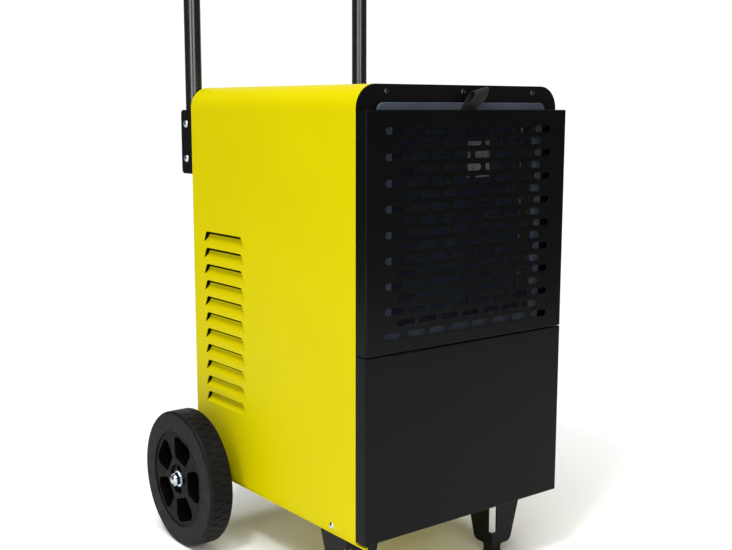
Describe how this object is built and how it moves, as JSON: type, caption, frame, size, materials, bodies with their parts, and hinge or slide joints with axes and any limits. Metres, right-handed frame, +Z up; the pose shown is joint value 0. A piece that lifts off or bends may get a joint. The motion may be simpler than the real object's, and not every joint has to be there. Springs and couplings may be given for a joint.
{
  "type": "wheeled dehumidifier",
  "caption": "Commercial dehumidifier: yellow folded steel cabinet, slotted black front grille, louvred sides, rear wheels, front legs and a tube handle.",
  "frame": {"origin": "on the floor, in the middle of the whole machine's footprint", "axes": "+Z up; the front grille faces -Y; the machine's left side, seen from behind the handle, is -X"},
  "size_m": [0.5026, 0.4784, 0.97],
  "materials": {
    "yellow_paint": "satin",
    "black_cover": "satin",
    "black_frame": "satin",
    "black_tube": "satin",
    "rear_paint": "satin",
    "black_screw": "satin",
    "zinc": "satin",
    "filter_plastic": "matte",
    "filter_net": "matte",
    "strap_web": "matte",
    "wheel_plastic": "matte",
    "tyre_rubber": "matte",
    "black_rubber": "matte",
    "fin_aluminium": "satin",
    "copper": "satin",
    "sensor_pad": "satin",
    "galvanised_steel": "satin",
    "tray_plastic": "matte",
    "clear_hose": "satin",
    "fan_plastic": "satin",
    "motor_steel": "satin",
    "shaft_steel": "polished",
    "compressor_paint": "gloss",
    "panel_plastic": "satin",
    "display_lens": "gloss",
    "key_plastic": "satin",
    "board_laminate": "satin",
    "gland_plastic": "satin",
    "sensor_plastic": "matte"
  },
  "bodies": {
    "cabinet": {"accumulator": "compressor_paint", "axle_nuts": "zinc", "base_pan": "yellow_paint", "cabinet_shell": "yellow_paint", "cable_gland": "gland_plastic", "chassis_bolts": "zinc", "coil_shelf": "galvanised_steel", "compressor": "compressor_paint", "compressor_grommets": "black_rubber", "condenser_fins": "fin_aluminium", "condenser_tubes": "copper", "control_board": "board_laminate", "control_panel": "panel_plastic", "cover_screws": "black_screw", "defrost_sensor_pad": "sensor_pad", "discharge_pipe": "copper", "display_window": "display_lens", "drain_hose": "clear_hose", "drain_outlet": "gland_plastic", "drip_tray": "tray_plastic", "electrics_box": "galvanised_steel", "evaporator_fins": "fin_aluminium", "evaporator_tubes": "copper", "fan_motor": "motor_steel", "fan_motor_bracket": "galvanised_steel", "fan_shroud": "galvanised_steel", "filter_guides": "black_frame", "foot_pads": "black_rubber", "front_frame": "black_frame", "front_leg_left": "black_frame", "front_leg_right": "black_frame", "grille_panel": "black_cover", "handle_bolts": "zinc", "handle_bracket_left": "black_frame", "handle_bracket_right": "black_frame", "handle_tube": "black_tube", "humidity_sensor": "sensor_plastic", "liquid_line": "copper", "lower_front_panel": "black_cover", "power_board": "board_laminate", "rear_panel": "rear_paint", "shell_screws": "zinc", "stub_axle_left": "black_frame", "stub_axle_right": "black_frame", "suction_pipe": "copper", "terminal_cover": "gland_plastic"},
    "wheel_left": {"wheel_tyre_left": "tyre_rubber", "wheel_rim_left": "wheel_plastic"},
    "wheel_right": {"wheel_tyre_right": "tyre_rubber", "wheel_rim_right": "wheel_plastic"},
    "fan_rotor": {"fan_impeller": "fan_plastic", "fan_shaft": "shaft_steel"},
    "air_filter": {"filter_frame": "filter_plastic", "filter_mesh": "filter_net", "filter_pull_strap": "strap_web"},
    "power_key": {"button_power": "key_plastic"},
    "mode_key": {"button_mode": "key_plastic"},
    "timer_key": {"button_timer": "key_plastic"},
    "lower_key": {"button_lower": "key_plastic"},
    "raise_key": {"button_raise": "key_plastic"}
  },
  "joints": [
    {"name": "wheel_left_spin", "type": "hinge", "parent": "cabinet", "child": "wheel_left", "pos_m": [-0.222, 0.1372, 0.102], "axis": [1, 0, 0], "continuous": true},
    {"name": "wheel_right_spin", "type": "hinge", "parent": "cabinet", "child": "wheel_right", "pos_m": [0.222, 0.1372, 0.102], "axis": [1, 0, 0], "continuous": true},
    {"name": "fan_spin", "type": "hinge", "parent": "cabinet", "child": "fan_rotor", "pos_m": [-0.011, -0.08, 0.507], "axis": [0, 1, 0], "continuous": true},
    {"name": "filter_slide", "type": "slide", "parent": "cabinet", "child": "air_filter", "axis": [0, 0, 1], "range_m": [0, 0.3]},
    {"name": "power_press", "type": "slide", "parent": "cabinet", "child": "power_key", "axis": [0, -1, 0], "range_m": [0, 0.001], "stiffness_N_per_m": 600, "springref_m": -0.0004},
    {"name": "mode_press", "type": "slide", "parent": "cabinet", "child": "mode_key", "axis": [0, -1, 0], "range_m": [0, 0.001], "stiffness_N_per_m": 600, "springref_m": -0.0004},
    {"name": "timer_press", "type": "slide", "parent": "cabinet", "child": "timer_key", "axis": [0, -1, 0], "range_m": [0, 0.001], "stiffness_N_per_m": 600, "springref_m": -0.0004},
    {"name": "lower_press", "type": "slide", "parent": "cabinet", "child": "lower_key", "axis": [0, -1, 0], "range_m": [0, 0.001], "stiffness_N_per_m": 600, "springref_m": -0.0004},
    {"name": "raise_press", "type": "slide", "parent": "cabinet", "child": "raise_key", "axis": [0, -1, 0], "range_m": [0, 0.001], "stiffness_N_per_m": 600, "springref_m": -0.0004}
  ]
}
